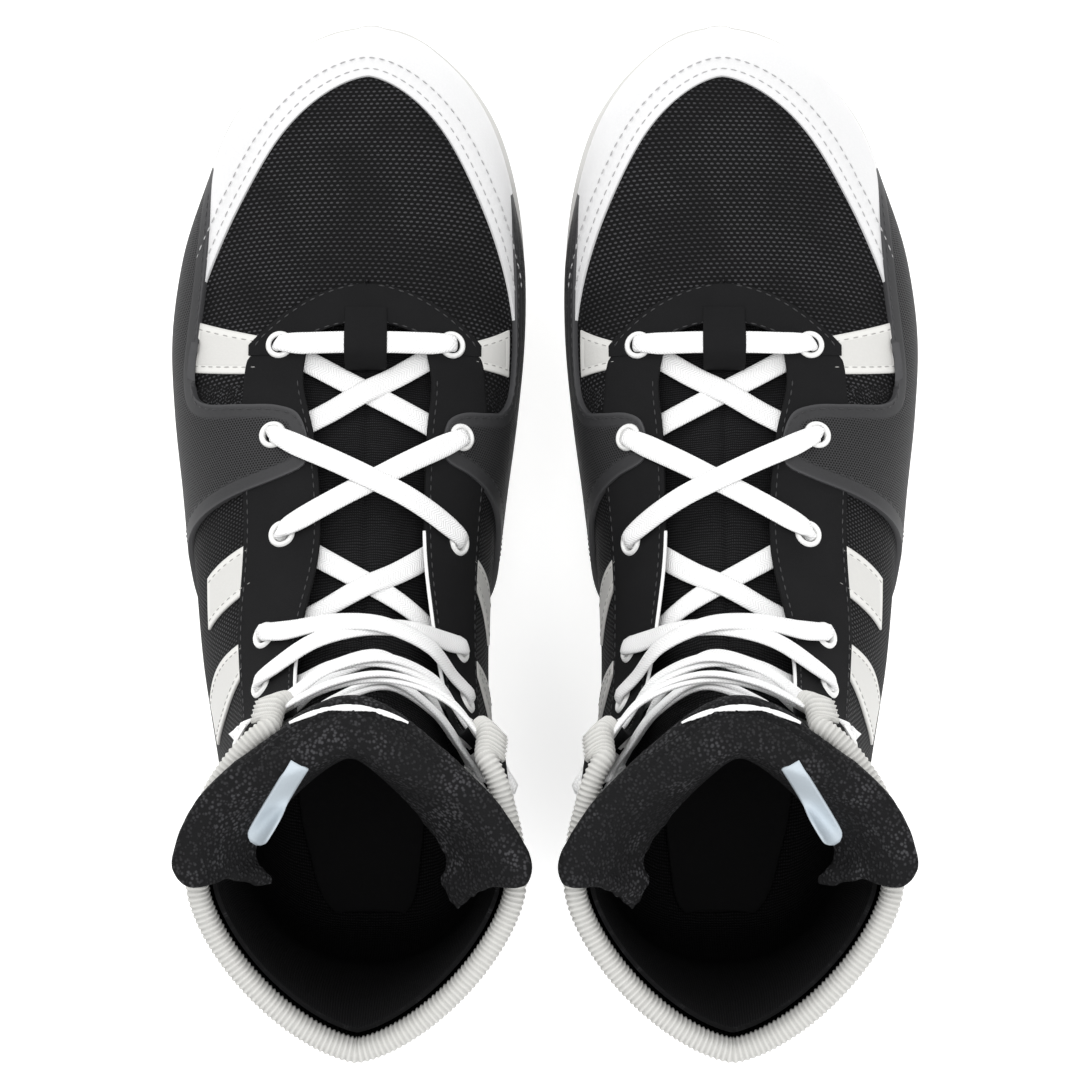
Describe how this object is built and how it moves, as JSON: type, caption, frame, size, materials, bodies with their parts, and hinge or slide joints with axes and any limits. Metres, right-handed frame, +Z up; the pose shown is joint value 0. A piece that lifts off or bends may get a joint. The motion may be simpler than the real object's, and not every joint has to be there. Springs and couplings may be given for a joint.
{
  "type": "boxing boots",
  "caption": "Pair of mid-height lace-up boxing boots with mesh uppers, pale toe rands, bound collars, padded tongues and flat rubber soles.",
  "frame": {"origin": "middle of the pair at the floor, between the two outsoles", "axes": "+X to the right boot, +Y towards the toes, +Z up the shafts"},
  "size_m": [0.2216, 0.2899, 0.2113],
  "materials": {
    "black_mesh": "matte woven mesh",
    "black_suede": "matte napped microfibre",
    "black_overlay": "low-sheen synthetic, perforated",
    "white_overlay": "smooth low-sheen synthetic",
    "grey_overlay": "smooth low-sheen synthetic",
    "white_binding": "ribbed grosgrain tape",
    "white_lace": "flat woven lace",
    "white_eyelet": "satin enamel",
    "rubber_sole": "matte gum rubber",
    "lining_fabric": "matte knit",
    "insole_foam": "matte foam with cloth cover",
    "board": "matte fibre board",
    "label_fabric": "satin woven label"
  },
  "bodies": {
    "left_boot": {"left_outsole": "rubber_sole", "left_midsole_cup": "rubber_sole", "left_lasting_board": "board", "left_lining": "lining_fabric", "left_toe_rand": "white_overlay", "left_vamp": "black_mesh", "left_throat_overlay": "black_suede", "left_lateral_saddle": "black_overlay", "left_medial_saddle": "black_overlay", "left_lateral_quarter": "black_mesh", "left_medial_quarter": "black_mesh", "left_heel_counter": "black_overlay", "left_lateral_facing": "black_suede", "left_medial_facing": "black_suede", "left_lateral_eyelets": "white_eyelet", "left_medial_eyelets": "white_eyelet", "left_lateral_front_patch": "grey_overlay", "left_medial_front_patch": "grey_overlay", "left_lateral_rear_patch": "grey_overlay", "left_medial_rear_patch": "grey_overlay", "left_collar_binding": "white_binding", "left_tongue": "black_mesh", "left_lace_loop": "black_overlay", "left_lace": "white_lace", "left_lateral_aglet": "white_eyelet", "left_medial_aglet": "white_eyelet"},
    "left_tongue_head": {"left_tongue_head": "black_mesh", "left_size_label": "label_fabric"},
    "left_insole": {"left_insole": "insole_foam"},
    "right_boot": {"right_outsole": "rubber_sole", "right_midsole_cup": "rubber_sole", "right_lasting_board": "board", "right_lining": "lining_fabric", "right_toe_rand": "white_overlay", "right_vamp": "black_mesh", "right_throat_overlay": "black_suede", "right_lateral_saddle": "black_overlay", "right_medial_saddle": "black_overlay", "right_lateral_quarter": "black_mesh", "right_medial_quarter": "black_mesh", "right_heel_counter": "black_overlay", "right_lateral_facing": "black_suede", "right_medial_facing": "black_suede", "right_lateral_eyelets": "white_eyelet", "right_medial_eyelets": "white_eyelet", "right_lateral_front_patch": "grey_overlay", "right_medial_front_patch": "grey_overlay", "right_lateral_rear_patch": "grey_overlay", "right_medial_rear_patch": "grey_overlay", "right_collar_binding": "white_binding", "right_tongue": "black_mesh", "right_lace_loop": "black_overlay", "right_lace": "white_lace", "right_lateral_aglet": "white_eyelet", "right_medial_aglet": "white_eyelet"},
    "right_tongue_head": {"right_tongue_head": "black_mesh", "right_size_label": "label_fabric"},
    "right_insole": {"right_insole": "insole_foam"}
  },
  "joints": [
    {"name": "right_boot_slide", "type": "slide", "parent": "left_boot", "child": "right_boot", "axis": [1, 0, 0], "range_m": [0, 0.15]},
    {"name": "left_tongue_fold", "type": "hinge", "parent": "left_boot", "child": "left_tongue_head", "pos_m": [-0.053, -0.0514, 0.1945], "axis": [-1, 0, 0], "range_deg": [0, 25]},
    {"name": "left_insole_lift", "type": "hinge", "parent": "left_boot", "child": "left_insole", "pos_m": [-0.053, 0.1096, 0.0175], "axis": [-1, 0, 0], "range_deg": [0, 4]},
    {"name": "right_tongue_fold", "type": "hinge", "parent": "right_boot", "child": "right_tongue_head", "pos_m": [0.053, -0.0514, 0.1945], "axis": [-1, 0, 0], "range_deg": [0, 25]},
    {"name": "right_insole_lift", "type": "hinge", "parent": "right_boot", "child": "right_insole", "pos_m": [0.053, 0.1096, 0.0175], "axis": [-1, 0, 0], "range_deg": [0, 4]}
  ]
}
